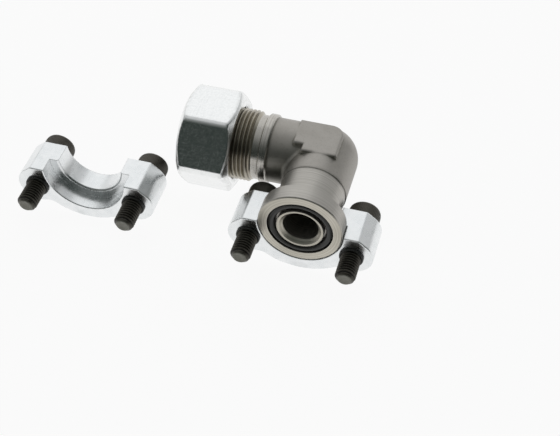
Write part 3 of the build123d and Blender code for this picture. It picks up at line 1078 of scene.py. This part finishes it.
head_towards_back = Matrix.Rotation(math.radians(-90), 4, "X")
halves = {"seated": (0.0, SEATED_HEAD_Y), "loose": (LOOSE_X, LOOSE_HEAD_Y)}
for half, (middle_x, head_y) in halves.items():
    for side, side_name in ((-1, "left"), (1, "right")):
        spot = Matrix.Translation((middle_x + side * SCREW_HALF_SPACING, head_y, SCREW_ROW_Z))
        placement = spot @ head_towards_back
        cap_screw = copy_piece(screw, f"{half}_clamp_screws_{side_name}", placement)
        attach(cap_screw, "fitting")
        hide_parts(f"{half}_clamp_screws")
        rubber_ring = copy_piece(retainer, f"{half}_screw_retainers_{side_name}", placement)
        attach(rubber_ring, "fitting")
        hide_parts(f"{half}_screw_retainers")
bpy.data.objects.remove(screw)
bpy.data.objects.remove(retainer)

# Finishes of the pieces that keep their solid's shape
finishes = {
    "cutting_ring": nut_zinc,
    "seated_clamp_half": clamp_zinc,
    "loose_clamp_half": clamp_zinc,
    "face_seal_ring": rubber,
}
for node_name, finish in finishes.items():
    nodes[node_name].material_slots[0].material = finish


def mirrored_rays(tree, path):
    """1 for rays that carry what shiny metal mirrors."""
    return larger(tree, path["Is Glossy Ray"], path["Is Transmission Ray"])


# Pale floor under the lowest point
deselect_all()
bpy.ops.mesh.primitive_plane_add(size=FLOOR_SIZE, location=(0, 0, solid_box[0][2]))
floor = bpy.context.object
floor.name = "pale_floor"
paper = bpy.data.materials.new("white_paper")
tree, surface = tree_of(paper)
surface.inputs["Base Color"].default_value = FLOOR_TONE
surface.inputs["Roughness"].default_value = FLOOR_ROUGHNESS
surface.inputs["Specular IOR Level"].default_value = FLOOR_SHEEN
output = next(found for found in tree.nodes if found.type == "OUTPUT_MATERIAL")
glow = node(tree, "ShaderNodeEmission", Strength=1.0)
path = node(tree, "ShaderNodeLightPath").outputs
to_metal = times(tree, mirrored_rays(tree, path), FLOOR_GLOW_IN_METAL)
to_camera = times(tree, path["Is Camera Ray"], FLOOR_GLOW)
glow_share = larger(tree, to_camera, to_metal)
blend = node(
    tree,
    "ShaderNodeMixShader",
    i0=glow_share,
    i1=surface.outputs[0],
    i2=glow.outputs[0],
)
tree.links.new(blend.outputs[0], output.inputs["Surface"])
dress(floor, paper)

# Studio: white backdrop behind, dimmer ceiling, dark wall in front, large soft lamp at the back
world = bpy.data.worlds.new("studio_dome")
bpy.context.scene.world = world
world.use_nodes = True
sky = world.node_tree
sky.nodes.clear()
direction = node(sky, "ShaderNodeTexCoord").outputs["Generated"]
towards_light = node(
    sky,
    "ShaderNodeVectorMath",
    {"operation": "DOT_PRODUCT"},
    i0=direction,
    i1=DOME_MIDDLE,
).outputs["Value"]
lit = ramp_between(sky, towards_light, DOME_DARK_FROM, DOME_WHITE_FROM)
parts = node(sky, "ShaderNodeSeparateXYZ", Vector=direction).outputs
depth = parts["Y"]
height = parts["Z"]
front_wall = mix_colour(sky, ramp_between(sky, height, *FRONT_WALL_HEIGHTS), *FRONT_WALL_TONES)
dome = mix_colour(sky, lit, front_wall, DOME_TONE)
low_down = ramp_between(sky, height, *BACKDROP_HEIGHTS)
behind = ramp_between(sky, depth, *BACKDROP_DEPTHS)
backdrop = times(sky, times(sky, low_down, behind), lit)
path = node(sky, "ShaderNodeLightPath").outputs
backdrop_in_metal = times(sky, mirrored_rays(sky, path), backdrop)
white = larger(sky, path["Is Camera Ray"], backdrop_in_metal)
seen = mix_colour(sky, white, dome, WHITE)
background = node(sky, "ShaderNodeBackground", Color=seen, Strength=1.0)
world_output = sky.nodes.new("ShaderNodeOutputWorld")
sky.links.new(background.outputs[0], world_output.inputs["Surface"])

lamp_data = bpy.data.lights.new("back_softbox", "AREA")
lamp_data.shape = "RECTANGLE"
lamp_data.size = LAMP_WIDTH
lamp_data.size_y = LAMP_DEPTH
lamp_data.energy = LAMP_WATTS
lamp = bpy.data.objects.new("back_softbox", lamp_data)
bpy.context.scene.collection.objects.link(lamp)
lamp.location = LAMP_PLACE
aim = Vector(LAMP_AIM) - lamp.location
lamp.rotation_euler = aim.to_track_quat("-Z", "Y").to_euler()

# Camera where the photograph was taken from
camera_data = bpy.data.cameras.new("photo_camera")
camera_data.sensor_width = SENSOR_WIDTH
camera_data.lens = LENS
camera = bpy.data.objects.new("photo_camera", camera_data)
bpy.context.scene.collection.objects.link(camera)
camera.location = CAMERA_PLACE
camera.rotation_euler = Vector(CAMERA_DIRECTION).to_track_quat("-Z", "Y").to_euler()
bpy.context.scene.camera = camera
bpy.context.scene.view_settings.view_transform = "Standard"
